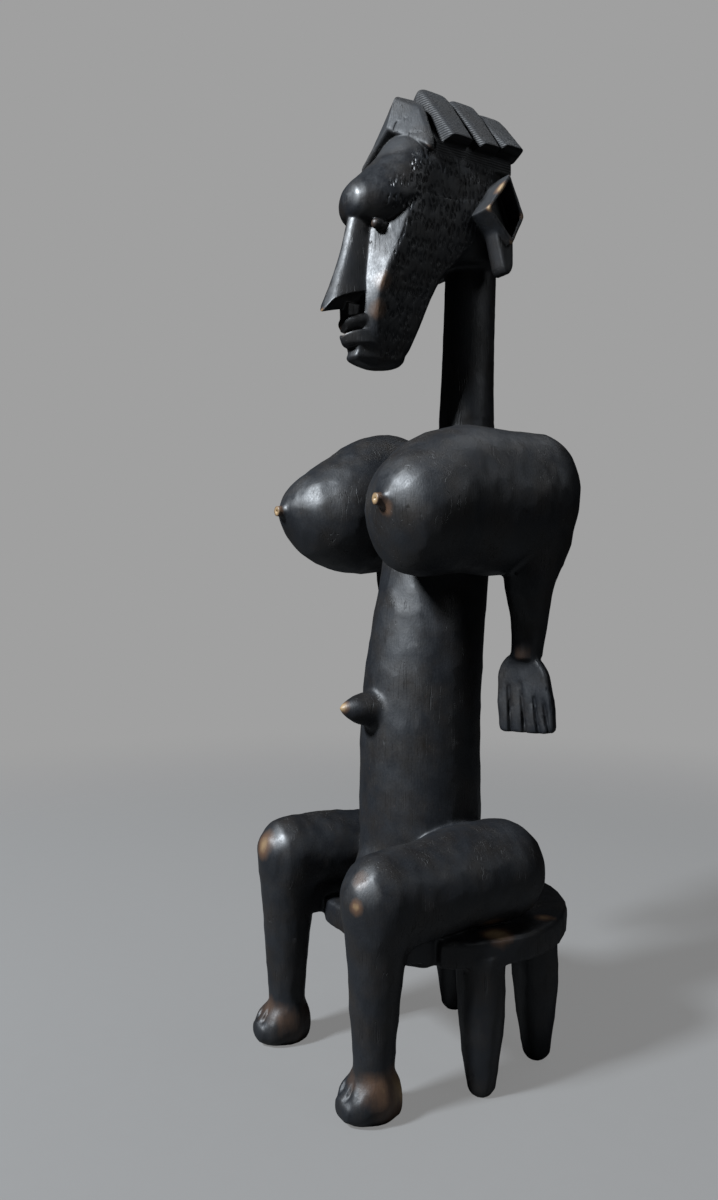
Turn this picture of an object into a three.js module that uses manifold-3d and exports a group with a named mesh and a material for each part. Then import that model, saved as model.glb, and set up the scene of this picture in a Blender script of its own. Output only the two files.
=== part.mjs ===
// A seated Bamana woman on a round stool, carved with her seat from a single log.
// Millimetres. She faces -Y, her left side is +X, and Z is the height above the floor.
import * as THREE from 'three';
import Module from 'manifold-3d';

const wasm = await Module();
wasm.setup();

// Driving sizes, in a frame with the seat's middle near Y = 0. The figure is moved at the end, so that the
// origin is under the middle of its box.
const middleY = -31.5;
const seat = { x: 2, y: -3, radius: 147, frontY: -132, top: 177, thickness: 32, edge: 8, lowerEdge: 3 };
const web = { inner: 77, outer: 108, frontY: -152, backY: -60, top: 205, frontZ: 159, backZ: 146 };
const stoolLeg = { topRadius: 29, midRadius: 25, midZ: 70, endRadius: 16.5, dome: 14, flat: 2.5 };
const stoolLegPlaces = [[119, -41], [92, 64], [-62, 61], [-98, -46]];
const thigh = { hipY: 2, kneeY: -166, kneeRadius: 46, kneeZ: 226, hipZ: 229, hipRadius: 52, unevenness: 6 };
const shin = { x: 99, y: -166, topRadius: 37, midRadius: 27, ankleRadius: 20.5, ankleZ: 50, kneeTop: 270 };
const foot = { width: 57, heelY: -137, toeY: -206, toeNotch: 3 };
const torso = { y: -38, radius: 73.5, hipZ: 300, chestZ: 571, chestY: -17, chestRadius: 66 };
const navel = { z: 414, tipY: -150, radius: 22 };
const chest = { x: 100, tipX: 111, tipY: -172, tipZ: 649, halfHeight: 82, halfWidth: 69 };
const shoulder = { x: 118, y: 34, z: 657, radius: 62, unevenness: 6 };
const nipple = { radius: 6.5, length: 9 };
const arm = { x: 131, topY: 21, wristY: 15, wristZ: 480, wristRadius: 19, elbowRadius: 31 };
const hand = { width: 70, height: 91, thickness: 12, turn: 18, top: 485, y: 11, grooves: 4, flare: 8 };
const neck = { y: 33, headY: 41, radius: 34.5, headRadius: 31.5, foot: 700, top: 985 };
const brow = { z: 1032, y: -78, half: 52, height: 57, tipY: -145, tipZ: 1002 };
const skull = { halfWidth: 51, y: 15, halfLength: 71, low: 948, top: 1092 };
const nose = { bridgeZ: 985, tipZ: 868, bridgeY: -142, tipY: -176, half: 13, flare: 24 };
const mouth = { z: 847, half: 17, y: -130, reach: 22, lip: 12 };
const eye = { x: 27.5, y: -116, z: 970, radius: 6.4 };
const ear = {
  inner: 36, outer: 82, pocket: 24, rim: 7, y: 31, z: 996, front: 31, back: 25, top: 47, bottom: 37,
  lobe: 57, lobeInner: 50, lobeOuter: 72, unevenness: 12,
};
// The front lock is folded like a prow. Its sections across the head, from her right to her left, each have
// five [y, z] corners, from the top's back edge round the front to the underside.
const frontLock = [
  { x: -54, corners: [[-58, 1086], [-76, 1087], [-89, 1069], [-81, 1062], [-58, 1060]] },
  { x: 0, corners: [[-45, 1142], [-74, 1139], [-88, 1097], [-79, 1090], [-45, 1082]] },
  { x: 26, corners: [[-50, 1124], [-58, 1123], [-77, 1081], [-69, 1075], [-50, 1070]] },
  { x: 54, corners: [[-56, 1071], [-60, 1070], [-66, 1063], [-61, 1058], [-56, 1056]] },
];
const lock = { reach: 60, crest: 1157, thick: 13, round: 9, end: 8 };
const hairBed = { fromY: -48, toY: 74, top: 1136, half: 49, fall: 1.3, low: 1056 };
const locks = [
  { crestY: -22, crestHalf: 22, endY: -20, endHalf: 16, raise: 7, fall: 1.42 },
  { crestY: 23, crestHalf: 21.5, endY: 24, endHalf: 13, raise: 5, fall: 1.38 },
  { crestY: 64, crestHalf: 22.5, endY: 59, endHalf: 15, raise: -3, fall: 1.13 },
];

const sideways = new THREE.Vector3(1, 0, 0);
const upwards = new THREE.Vector3(0, 0, 1);
const ahead = new THREE.Vector3(0, -1, 0);

// Turns rings of points into a closed solid, with a point in the middle of each end.
function closedRings(rings) {
  const sides = rings[0].length;
  const points = rings.flat();
  const middle = (ring) => ring.reduce((sum, p) => sum.add(p), new THREE.Vector3()).divideScalar(sides);
  const first = points.push(middle(rings[0])) - 1;
  const last = points.push(middle(rings[rings.length - 1])) - 1;
  const faces = [];
  for (let s = 0; s < sides; s++) {
    const next = (s + 1) % sides;
    for (let r = 0; r + 1 < rings.length; r++) {
      const low = r * sides;
      const high = low + sides;
      faces.push([low + s, low + next, high + next], [low + s, high + next, high + s]);
    }
    const end = (rings.length - 1) * sides;
    faces.push([first, next, s], [last, end + s, end + next]);
  }
  return solidOf(points, faces);
}

// Makes a solid of points and triangles, turned so that its faces point out.
function solidOf(points, faces) {
  let volume = 0;
  for (const [a, b, c] of faces) {
    volume += points[a].dot(points[b].clone().cross(points[c]));
  }
  const outward = volume > 0 ? faces : faces.map(([a, b, c]) => [a, c, b]);
  return new wasm.Manifold(new wasm.Mesh({
    numProp: 3,
    vertProperties: new Float32Array(points.flatMap((p) => p.toArray())),
    triVerts: new Uint32Array(outward.flat()),
  }));
}

// Smooth rows between the given ones, by a Catmull-Rom spline through every number of a row.
function smoothRows(rows, between) {
  const result = [];
  const rowAt = (i) => rows[Math.min(Math.max(i, 0), rows.length - 1)];
  for (let i = 0; i + 1 < rows.length; i++) {
    const [a, b, c, d] = [rowAt(i - 1), rowAt(i), rowAt(i + 1), rowAt(i + 2)];
    for (let k = 0; k < between; k++) {
      const t = k / between;
      result.push(b.map((value, n) => {
        const slopeIn = (c[n] - a[n]) / 2;
        const slopeOut = (d[n] - value) / 2;
        const rise = c[n] - value;
        return value + t * slopeIn + t * t * (3 * rise - 2 * slopeIn - slopeOut)
          + t * t * t * (slopeIn + slopeOut - 2 * rise);
      }));
    }
  }
  result.push(rows[rows.length - 1]);
  return result;
}

// One point of a rounded section: a superellipse from 2, an ellipse, towards a square.
function sectionPoint(angle, halfA, halfB, square) {
  const bend = (v) => Math.sign(v) * Math.abs(v) ** (2 / square);
  return [halfA * bend(Math.cos(angle)), halfB * bend(Math.sin(angle))];
}

// A limb: a round form along a spine. Each station is [x, y, z, half width, half depth].
// Its sections stand square to the spine, or all face one way.
function limb(stations, shape = {}) {
  const { sides = 20, between = 2, square = 2, startDome = 0, endDome = 0, facing = null } = shape;
  const rows = smoothRows(stations, between);
  const spine = rows.map((row) => new THREE.Vector3(...row));
  const frames = spine.map((centre, i) => {
    const next = spine[Math.min(i + 1, spine.length - 1)];
    const along = facing ?? next.clone().sub(spine[Math.max(i - 1, 0)]).normalize();
    const deep = along.clone().cross(sideways).normalize();
    const wide = deep.clone().cross(along);
    return { centre, along, wide, deep, halfA: rows[i][3], halfB: rows[i][4] };
  });
  const ringAt = (frame, scale, shift) => Array.from({ length: sides }, (_, s) => {
    const angle = (2 * Math.PI * s) / sides;
    const [a, b] = sectionPoint(angle, frame.halfA * scale, frame.halfB * scale, square);
    return frame.centre.clone().addScaledVector(frame.wide, a).addScaledVector(frame.deep, b)
      .addScaledVector(frame.along, shift);
  });
  const domeSteps = 3;
  const dome = (frame, length, sign) => Array.from({ length: domeSteps }, (_, k) => {
    const angle = ((k + 1) / (domeSteps + 0.35)) * Math.PI / 2;
    return ringAt(frame, Math.cos(angle), sign * length * Math.sin(angle));
  });
  const rings = frames.map((frame) => ringAt(frame, 1, 0));
  if (startDome) {
    rings.unshift(...dome(frames[0], startDome, -1).reverse());
  }
  if (endDome) {
    rings.push(...dome(frames[frames.length - 1], endDome, 1));
  }
  return closedRings(rings);
}

// A form of level sections: each level is [z, half outline], the outline running front to back on +X.
function levels(rows) {
  return closedRings(rows.map(([z, outline]) => {
    const right = outline.map(([x, y]) => new THREE.Vector3(x, y, z));
    const beside = outline.filter(([x]) => x > 0).reverse();
    return [...right, ...beside.map(([x, y]) => new THREE.Vector3(-x, y, z))];
  }));
}

// A flat outline in the YZ plane, drawn out along X.
function slabAcross(outline, fromX, toX) {
  const ring = (x) => outline.map(([y, z]) => new THREE.Vector3(x, y, z));
  return closedRings([ring(fromX), ring(toX)]);
}

const block = (fromX, toX, fromY, toY, fromZ, toZ) => slabAcross(
  [[fromY, fromZ], [toY, fromZ], [toY, toZ], [fromY, toZ]], fromX, toX);
const join = (solids) => solids.reduce((whole, solid) => whole.add(solid));
const mirrored = (build) => join([build(1), build(-1)]);

function makeSeat() {
  const bottom = seat.top - seat.thickness;
  const ring = (radius, z) => [seat.x, seat.y, z, radius, radius];
  const disc = limb([
    ring(seat.radius - seat.lowerEdge, bottom),
    ring(seat.radius, bottom + seat.lowerEdge),
    ring(seat.radius, seat.top - seat.edge),
    ring(seat.radius - seat.edge * 0.3, seat.top - seat.edge * 0.3),
    ring(seat.radius - seat.edge, seat.top),
  ], { sides: 36, between: 1 });
  const front = block(-seat.radius, seat.radius, -2 * seat.radius, seat.frontY, 0, seat.top + 10);
  const legs = stoolLegPlaces.map(([x, y]) => limb([
    [x, y, stoolLeg.dome - stoolLeg.flat, stoolLeg.endRadius, stoolLeg.endRadius],
    [x, y, stoolLeg.midZ, stoolLeg.midRadius, stoolLeg.midRadius],
    [x * 0.97, y * 0.97, bottom + 8, stoolLeg.topRadius, stoolLeg.topRadius],
  ], { sides: 12, between: 1, startDome: stoolLeg.dome }));
  return join([disc.subtract(front), ...legs]);
}

// Thigh, shin and foot of one side, with the wood left standing between the thigh and the seat.
// Her right leg is a little slighter than her left.
function makeLeg(side) {
  const x = side * shin.x - 2;
  const hipX = x - side * 4;
  const hipRadius = thigh.hipRadius + side * thigh.unevenness;
  const hipZ = thigh.hipZ + side * thigh.unevenness * 0.6;
  const knee = thigh.kneeRadius;
  const fuller = side * thigh.unevenness;
  const upper = limb([
    [hipX, thigh.hipY, hipZ, hipRadius * 0.95, hipRadius],
    [hipX, thigh.hipY - 60, hipZ, hipRadius * 0.92, hipRadius * 0.95],
    [x, thigh.kneeY + 56, thigh.kneeZ + 2, knee, knee * 1.06 + fuller * 0.6],
    [x, thigh.kneeY + 14, thigh.kneeZ + 1, knee * 0.87, knee * 1.04 + fuller * 0.5],
    [x, thigh.kneeY - 6, thigh.kneeZ, knee * 0.76, knee * 0.96 + fuller * 0.4],
  ], { sides: 16, between: 1, startDome: hipRadius, endDome: 20 });
  const lower = limb([
    [x, shin.y, shin.kneeTop - shin.topRadius, shin.topRadius * 1.02, shin.topRadius],
    [x - 1, shin.y + 2, 175, shin.topRadius * 0.84, shin.topRadius * 0.88],
    [x - 2, shin.y + 1, 120, shin.midRadius * 0.94, shin.midRadius * 0.97],
    [x - 2, shin.y, shin.ankleZ, shin.ankleRadius, shin.ankleRadius],
    [x - 2, shin.y, 24, shin.ankleRadius, shin.ankleRadius],
  ], { sides: 14, between: 1, startDome: shin.topRadius * 0.98 });
  const rest = slabAcross([
    [web.frontY, web.frontZ], [web.backY, web.backZ], [web.backY, web.top], [web.frontY, web.top],
  ], side * web.inner, side * web.outer);
  return join([upper, lower, rest, makeFoot(x - 4)]);
}

function makeFoot(x) {
  const half = foot.width / 2;
  const body = limb([
    [x, foot.heelY - 9, 22, half * 0.84, 25],
    [x, foot.heelY - 25, 24, half, 30],
    [x - 1, foot.toeY + 26, 23, half * 0.96, 26],
    [x - 2, foot.toeY + 11, 19, half * 0.78, 18],
    [x - 3, foot.toeY + 4, 16, half * 0.52, 11],
  ], { sides: 14, between: 1, square: 2.5, startDome: 9, endDome: 4 });
  const notches = [-0.9, 0, 0.9].map((step) => {
    const middle = x + step * foot.width / 4;
    return slabAcross([[foot.toeY - 6, 24], [foot.toeY + 7, 44], [foot.toeY + 15, 40], [foot.toeY + 6, 20]],
      middle - foot.toeNotch / 2, middle + foot.toeNotch / 2);
  });
  return body.subtract(join(notches));
}

function makeTorso() {
  const r = torso.radius;
  return join([
    limb([
      [0, torso.y + 4, seat.top - 8, r * 1.02, r * 0.98],
      [0, torso.y, torso.hipZ - 40, r, r],
      [0, torso.y + 3, 430, r * 0.98, r * 0.98],
      [0, torso.chestY, torso.chestZ, torso.chestRadius, torso.chestRadius],
      [0, torso.chestY + 14, 660, r * 0.95, r * 0.8],
      [0, torso.chestY + 26, 712, r * 0.75, r * 0.55],
    ], { sides: 20, between: 1, endDome: 20, facing: upwards }),
    limb([
      [0, torso.y - 44, navel.z - 2, navel.radius, navel.radius],
      [0, torso.y - r - 4, navel.z - 1, navel.radius * 0.9, navel.radius * 0.9],
      [0, navel.tipY + 19, navel.z + 1, navel.radius * 0.73, navel.radius * 0.71],
      [0, navel.tipY + 8, navel.z + 2, navel.radius * 0.48, navel.radius * 0.46],
      [0, navel.tipY + 1, navel.z + 3, 3, 3],
    ], { sides: 14, between: 1, endDome: 1.5 }),
    limb([
      [0, torso.y - 30, 228, 50, 44],
      [0, torso.y - 66, 222, 38, 34],
      [0, torso.y - 82, 212, 26, 26],
    ], { sides: 12, between: 1, endDome: 10 }),
  ]);
}

// The great cone of a breast runs back into the shoulder as one form.
function makeBreast(side) {
  const station = (back, x, z, wide, high, lift) => [
    side * x, shoulder.y - back, z - side * lift, chest.halfWidth * wide, chest.halfHeight * high,
  ];
  const cone = limb([
    station(0, shoulder.x + 2, shoulder.z + 10, 0.82, 0.86, shoulder.unevenness),
    station(40, shoulder.x - 9, shoulder.z + 1, 0.98, 1, shoulder.unevenness),
    station(96, chest.x, shoulder.z - 3, 1, 1, 0),
    station(146, chest.x, chest.tipZ - 2, 0.95, 0.82, 0),
    station(164, chest.x + 3, chest.tipZ - 3, 0.84, 0.68, 0),
    station(181, chest.x + 6, chest.tipZ - 1, 0.67, 0.5, 0),
    station(194, chest.x + 9, chest.tipZ, 0.39, 0.28, 0),
    [side * chest.tipX, chest.tipY + 5, chest.tipZ, 10, 9],
  ], { sides: 20, between: 1, startDome: shoulder.radius * 0.8, endDome: 3 });
  const peg = limb([
    [side * chest.tipX, chest.tipY + 8, chest.tipZ, nipple.radius, nipple.radius],
    [side * chest.tipX, chest.tipY - nipple.length / 2, chest.tipZ, nipple.radius, nipple.radius],
  ], { sides: 10, between: 1, endDome: 2 });
  return cone.add(peg);
}

// The back and chest between the shoulders, as a row of upright sections across the figure.
function makeYoke() {
  const halfSpan = shoulder.x - 6;
  const steps = 6;
  const sides = 16;
  const rings = Array.from({ length: steps + 1 }, (_, i) => {
    const t = (2 * i) / steps - 1;
    const x = t * halfSpan;
    const z = shoulder.z + 6 + 18 * (1 - t * t) - t * shoulder.unevenness;
    return Array.from({ length: sides }, (_, s) => {
      const [a, b] = sectionPoint((2 * Math.PI * s) / sides, 58 - 6 * t * t, 68 - 4 * (1 - t * t), 2.3);
      return new THREE.Vector3(x, shoulder.y - 26 + a, z + b);
    });
  });
  return closedRings(rings);
}

function makeArm(side) {
  const x = side * arm.x;
  const upper = limb([
    [side * (shoulder.x + 6), shoulder.y - 6, shoulder.z - 2, 46, 50],
    [side * (arm.x - 3), arm.topY + 8, 602, arm.elbowRadius + 6, arm.elbowRadius + 12],
    [x, arm.topY - 2, 560, arm.elbowRadius - 3, arm.elbowRadius - 2],
    [x, arm.wristY + 3, arm.wristZ + 34, arm.wristRadius + 2, arm.wristRadius + 3],
    [x, arm.wristY, arm.wristZ, arm.wristRadius - 1, arm.wristRadius - 1],
  ], { sides: 12, between: 2, startDome: 20, endDome: 8 });
  return upper.add(makeHand(side));
}

// A flat hand hangs open, palm to the front, its five fingers parted by grooves.
function makeHand(side) {
  const halfWidth = hand.width / 2;
  const bottom = hand.top - hand.height;
  const arch = 30;
  const turn = side * THREE.MathUtils.degToRad(hand.turn);
  const across = new THREE.Vector3(Math.cos(turn), Math.sin(turn), 0);
  const forward = new THREE.Vector3(Math.sin(turn), -Math.cos(turn), 0);
  const slant = (u, z) => u + side * hand.flare * (hand.top - z) / hand.height - side * hand.flare * 0.4;
  const place = (u, v, z) => new THREE.Vector3(side * arm.x, hand.y, z)
    .addScaledVector(across, slant(u, z)).addScaledVector(forward, v);
  const plate = (outline, back, front) => closedRings([back, front].map(
    (v) => outline.map(([u, z]) => place(u, v, z))));
  const outline = [];
  const archSteps = 6;
  for (let i = 0; i <= archSteps; i++) {
    const angle = (Math.PI * i) / archSteps;
    outline.push([halfWidth * Math.cos(angle) * 0.95, hand.top - arch + arch * Math.sin(angle)]);
  }
  outline.push([-halfWidth, bottom + 8], [-halfWidth * 0.88, bottom], [halfWidth * 0.9, bottom],
    [halfWidth, bottom + 8]);
  const palm = plate(outline, -hand.thickness / 2, hand.thickness / 2);
  const grooves = Array.from({ length: hand.grooves }, (_, i) => {
    const u = (i - (hand.grooves - 1) / 2) * hand.width * 0.18;
    const top = bottom + 52;
    const groove = [[u - 1.6, bottom - 2], [u + 1.6, bottom - 2], [u + 0.8, top], [u - 0.8, top]];
    return plate(groove, hand.thickness / 2 - 4, hand.thickness / 2 + 2);
  });
  return palm.subtract(join(grooves));
}

function makeNeck() {
  return limb([
    [0, neck.y - 2, neck.foot, neck.radius + 3, neck.radius + 3],
    [0, neck.y, neck.foot + 60, neck.radius, neck.radius],
    [0, neck.headY, neck.top, neck.headRadius, neck.headRadius],
  ], { sides: 20, between: 1 });
}

// The long wedge of the face: cheek planes slope back from the nose to a ridge, and flat jaws run behind it.
function makeFace() {
  const level = (z, frontY, noseHalf, ridgeX, ridgeY, jawX, jawY) => [z, [
    [0, frontY],
    [noseHalf, frontY + 2],
    [ridgeX, ridgeY],
    [(ridgeX + jawX) / 2 + 2, (ridgeY + jawY) / 2],
    [jawX, jawY],
    [jawX * 0.55, jawY + 8],
    [0, jawY + 11],
  ]];
  return levels([
    level(811, -116, 6, 9, -112, 9, -98),
    level(815, -130, 9, 13, -118, 15, -86),
    level(830, -136, 13, 19, -116, 22, -74),
    level(850, -133, 15, 25, -117, 27, -64),
    level(875, -132, 16, 31, -119, 31, -54),
    level(900, -130, 17, 36, -117, 34, -44),
    level(925, -127, 17, 40, -108, 38, -30),
    level(950, -123, 17, 44, -98, 42, -8),
    level(980, -118, 17, 48, -88, 46, 10),
    level(1010, -108, 17, 50, -76, 49, 20),
  ]);
}

function makeSkull() {
  const { halfWidth: w, halfLength: l, y } = skull;
  const reach = brow.y - brow.tipY;
  const fall = brow.z - brow.tipZ;
  const station = (out, down, wide, high) => [
    0, brow.y - reach * out, brow.z - fall * down, brow.half * wide, brow.height * high,
  ];
  const bulge = limb([
    station(-0.4, 0, 0.98, 1),
    station(0, 0, 1, 1),
    station(0.29, 0.44, 0.93, 0.81),
    station(0.54, 0.75, 0.8, 0.65),
    station(0.72, 0.9, 0.65, 0.51),
    station(0.87, 0.97, 0.5, 0.38),
    station(0.96, 1, 0.33, 0.25),
  ], { sides: 20, between: 1, endDome: 3, facing: ahead });
  const dome = limb([
    [0, y + 17, skull.low, w * 0.76, l * 0.62],
    [0, y + 5, skull.low + 24, w * 0.94, l * 0.86],
    [0, y, skull.low + 60, w, l * 0.96],
    [0, y, skull.top - 47, w * 0.98, l],
    [0, y - 2, skull.top - 24, w * 0.84, l * 0.96],
    [0, y - 6, skull.top, w * 0.5, l * 0.8],
  ], { sides: 20, between: 1, square: 2.4, facing: upwards });
  return bulge.add(dome);
}

// The nose widens downwards and is cut off below by a slope that rises to the face, like a barb.
function makeNose() {
  const base = -112;
  const level = (t, half) => {
    const z = nose.bridgeZ + (nose.tipZ - nose.bridgeZ) * t;
    const ridge = nose.bridgeY + (nose.tipY - nose.bridgeY) * t ** 1.15;
    return [z, [
      [0, ridge], [half * 0.5, ridge + 1], [half * 0.9, ridge + 8],
      [half, ridge + 18], [half, base], [0, base],
    ]];
  };
  const body = levels([
    level(0, nose.half * 0.9),
    level(0.4, nose.half),
    level(0.7, nose.half * 1.2),
    level(1, nose.flare),
  ]);
  const slope = 0.6;
  const under = slabAcross([
    [nose.tipY - 3, nose.tipZ], [base + 4, nose.tipZ + (base - nose.tipY) * slope],
    [base + 4, nose.tipZ - 30], [nose.tipY - 3, nose.tipZ - 30],
  ], -60, 60);
  return body.subtract(under);
}

function makeMouth() {
  const bump = (z, reach, half, high) => limb([
    [0, mouth.y + 14, z + 2, half, high],
    [0, mouth.y - reach * 0.5, z, half * 0.85, high * 0.95],
    [0, mouth.y - reach * 0.86, z - 1, half * 0.5, high * 0.7],
  ], { sides: 8, between: 1, endDome: 3 });
  return join([
    bump(mouth.z + 9, mouth.reach - 1, mouth.half, mouth.lip * 0.62),
    bump(mouth.z - 8, mouth.reach, mouth.half * 0.95, mouth.lip * 0.62),
    bump(mouth.z + 14, mouth.reach - 4, mouth.half * 0.8, 24),
  ]);
}

function makeEye(side) {
  return limb([
    [side * eye.x, eye.y + 14, eye.z, eye.radius, eye.radius],
    [side * eye.x, eye.y - 2, eye.z, eye.radius, eye.radius],
  ], { sides: 10, between: 1, endDome: eye.radius * 0.9 });
}

// Each ear is a diamond box standing out sideways, hollowed from its outer side, over a plain lobe.
function makeEar(side) {
  const diamond = (inset) => [
    [ear.y + 2, ear.z + ear.top - inset * 1.5],
    [ear.y + ear.back - inset, ear.z],
    [ear.y + 6, ear.z - ear.bottom + inset * 1.5],
    [ear.y - ear.front + inset, ear.z],
  ];
  const box = slabAcross(diamond(0), side * ear.inner, side * ear.outer);
  const hollow = slabAcross(diamond(ear.rim), side * (ear.outer - ear.pocket), side * (ear.outer + 4));
  const drop = ear.lobe + side * ear.unevenness;
  const lobe = slabAcross([
    [ear.y - 13, ear.z - 14], [ear.y + 16, ear.z - 26], [ear.y + 16, ear.z - drop + 9],
    [ear.y + 9, ear.z - drop], [ear.y + 2, ear.z - drop + 5],
  ], side * ear.lobeInner, side * ear.lobeOuter);
  return join([box.subtract(hollow), lobe]);
}

// Behind the front lock, three thick locks hang over both sides of a rounded crest, narrower at their ends.
// They lie on a gabled bed, which is the bottom of the grooves between them.
function makeHair() {
  const eaves = hairBed.top - hairBed.fall * hairBed.half;
  const { half, low } = hairBed;
  const gable = [[0, hairBed.top], [half, eaves], [half, low], [-half, low], [-half, eaves]];
  const bed = closedRings([hairBed.fromY, hairBed.toY].map(
    (y) => gable.map(([x, z]) => new THREE.Vector3(x, y, z))));
  return join([bed, makeFrontLock(), ...locks.map(makeLock)]);
}

function makeFrontLock() {
  return closedRings(frontLock.map(({ x, corners }) => corners.map(([y, z]) => new THREE.Vector3(x, y, z))));
}

// A lock's sections stand square to its fall, and its ends are cut level.
function makeLock({ crestY, crestHalf, endY, endHalf, raise, fall }) {
  const sides = 10;
  const endZ = lock.crest + raise - fall * lock.reach * 0.93 - lock.end;
  const rings = [-0.93, -0.55, -0.25, -0.08, 0.08, 0.25, 0.55, 0.93].map((t) => {
    const x = lock.reach * t;
    const out = Math.abs(t);
    const across = Math.hypot(x, lock.round);
    const slope = -fall * x / across;
    const along = new THREE.Vector2(1, slope).normalize();
    const thick = lock.thick * (1.15 - 0.3 * out ** 2);
    const surface = lock.crest + raise + fall * (lock.round * 0.55 - across);
    const half = crestHalf + (endHalf - crestHalf) * out;
    return Array.from({ length: sides }, (_, s) => {
      const [a, b] = sectionPoint((2 * Math.PI * s) / sides, half, thick, 2.8);
      const point = new THREE.Vector3(x - along.y * (b - thick), crestY + (endY - crestY) * out + a,
        surface + along.x * (b - thick));
      if (out > 0.9) {
        const slide = (endZ - point.z) / along.y;
        point.x += along.x * slide;
        point.z = endZ;
      }
      return point;
    });
  });
  return closedRings(rings);
}

function makeFigure() {
  const whole = join([
    makeSeat(),
    mirrored(makeLeg),
    makeTorso(),
    mirrored(makeBreast),
    makeYoke(),
    mirrored(makeArm),
    makeNeck(),
    makeFace(),
    makeSkull(),
    makeNose(),
    makeMouth(),
    mirrored(makeEye),
    mirrored(makeEar),
    makeHair(),
  ]);
  const below = block(-400, 400, -400, 400, -60, 0);
  return whole.subtract(below).translate([0, -middleY, 0]);
}

function toMesh(name, solid, material) {
  const { vertProperties, triVerts, numProp } = solid.getMesh();
  const geometry = new THREE.BufferGeometry();
  const positions = [];
  for (let i = 0; i < vertProperties.length; i += numProp) {
    positions.push(vertProperties[i], vertProperties[i + 1], vertProperties[i + 2]);
  }
  geometry.setAttribute('position', new THREE.Float32BufferAttribute(positions, 3));
  geometry.setIndex([...triVerts]);
  geometry.computeVertexNormals();
  const mesh = new THREE.Mesh(geometry, material);
  mesh.name = name;
  return mesh;
}

const blackenedWood = new THREE.MeshStandardMaterial({ color: 0x1d1e20, roughness: 0.45, metalness: 0 });
const figure = new THREE.Group();
figure.add(toMesh('seated_figure', makeFigure(), blackenedWood));

export default figure;
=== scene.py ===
import itertools
import math

import bmesh
import bpy
import numpy as np
import openvdb
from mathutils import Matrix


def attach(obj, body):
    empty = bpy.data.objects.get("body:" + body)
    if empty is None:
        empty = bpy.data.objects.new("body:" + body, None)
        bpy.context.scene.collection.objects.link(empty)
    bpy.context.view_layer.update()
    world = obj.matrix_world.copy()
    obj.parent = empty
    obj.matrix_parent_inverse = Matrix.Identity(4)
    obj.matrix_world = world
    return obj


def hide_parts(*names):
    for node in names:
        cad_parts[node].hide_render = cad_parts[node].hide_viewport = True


# A seated Bamana woman on a round stool, cut from one log and blackened.
# Sizes are millimetres in the carver's frame: X to her left, -Y ahead of her, Z up from the floor.
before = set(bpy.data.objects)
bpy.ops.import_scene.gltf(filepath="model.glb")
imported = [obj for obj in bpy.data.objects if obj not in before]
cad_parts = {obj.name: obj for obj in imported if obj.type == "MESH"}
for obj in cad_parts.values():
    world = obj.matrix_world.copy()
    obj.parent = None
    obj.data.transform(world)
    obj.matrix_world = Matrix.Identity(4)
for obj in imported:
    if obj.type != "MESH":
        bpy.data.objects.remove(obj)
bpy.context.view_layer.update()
carverY = 31.5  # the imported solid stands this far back, so that its box is centred

carving = {
    "bodyStep": 2.1,  # spacing of the sculpting grid below the neck
    "headStep": 1.0,  # and above it, where the cuts are finer
    "bodyTop": 760.0,  # the two surfaces end here and are sewn together
    "headFoot": 764.0,
    "bodyFaces": 84000,  # triangles kept after thinning
    "headFaces": 118000,
}


# Sculpting: a block of wood is a grid of distances to the surface, negative inside.

def smoothMin(a, b, blend):
    if blend == 0:
        return np.minimum(a, b)
    near = np.maximum(blend - np.abs(a - b), 0) / blend
    return np.minimum(a, b) - near * near * blend / 4


def smoothMax(a, b, blend):
    return -smoothMin(-a, -b, blend)


def step(values, start, end):
    # rises smoothly from 0 at the start to 1 at the end
    t = np.clip((values - start) / (end - start), 0, 1)
    return t * t * (3 - 2 * t)


def within(values, rise, fall):
    # rises from 0 to 1 over the first stretch and falls back over the second
    return step(values, *rise) * (1 - step(values, *fall))


def between(rows, at, straight=False):
    # rows are [place, value, value...]: gives the values at other places, on a curve or straight lines
    rows = np.asarray(rows, float)
    places, values = rows[:, 0], rows[:, 1:]
    flat = np.clip(np.ravel(at), places[0], places[-1])
    index = np.clip(np.searchsorted(places, flat) - 1, 0, len(places) - 2)
    gap = (places[index + 1] - places[index])[:, None]
    t = (flat - places[index])[:, None] / gap
    start, end = values[index], values[index + 1]
    if straight:
        result = start + (end - start) * t
    else:
        slopes = np.gradient(values, places, axis=0)
        leave, arrive = slopes[index] * gap, slopes[index + 1] * gap
        rise = end - start
        bend = 3 * rise - 2 * leave - arrive
        result = start + t * leave + t**2 * bend + t**3 * (leave + arrive - 2 * rise)
    return [result[:, k].reshape(np.shape(at)) for k in range(values.shape[1])]


def roundForm(axis, rows, square=2.0, lowDome=0.0, highDome=0.0, edge=0.0):
    # a round form along one axis: rows are [place along it, middle, middle, half width, half depth]
    first, second = [i for i in range(3) if i != axis]
    low, high = rows[0][0], rows[-1][0]

    def distance(*place):
        t = place[axis]
        middleA, middleB, halfA, halfB = between(rows, t)
        u = place[first] - middleA + 1e-3
        v = place[second] - middleB
        if square == 2.0:
            q = (u / halfA) ** 2 + (v / halfB) ** 2
        else:
            q = (np.abs(u / halfA) ** square + np.abs(v / halfB) ** square) ** (2 / square)
        above, below = np.maximum(t - high, 0), np.maximum(low - t, 0)
        above = above if highDome else np.zeros_like(t)
        below = below if lowDome else np.zeros_like(t)
        q = np.sqrt(q + (above / (highDome or 1)) ** 2 + (below / (lowDome or 1)) ** 2)
        reach = np.sqrt(u**2 + v**2 + above**2 + below**2)
        result = reach - reach / q
        if not highDome:
            result = smoothMax(result, t - high, edge)
        if not lowDome:
            result = smoothMax(result, low - t, edge)
        return result
    return distance


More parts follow.
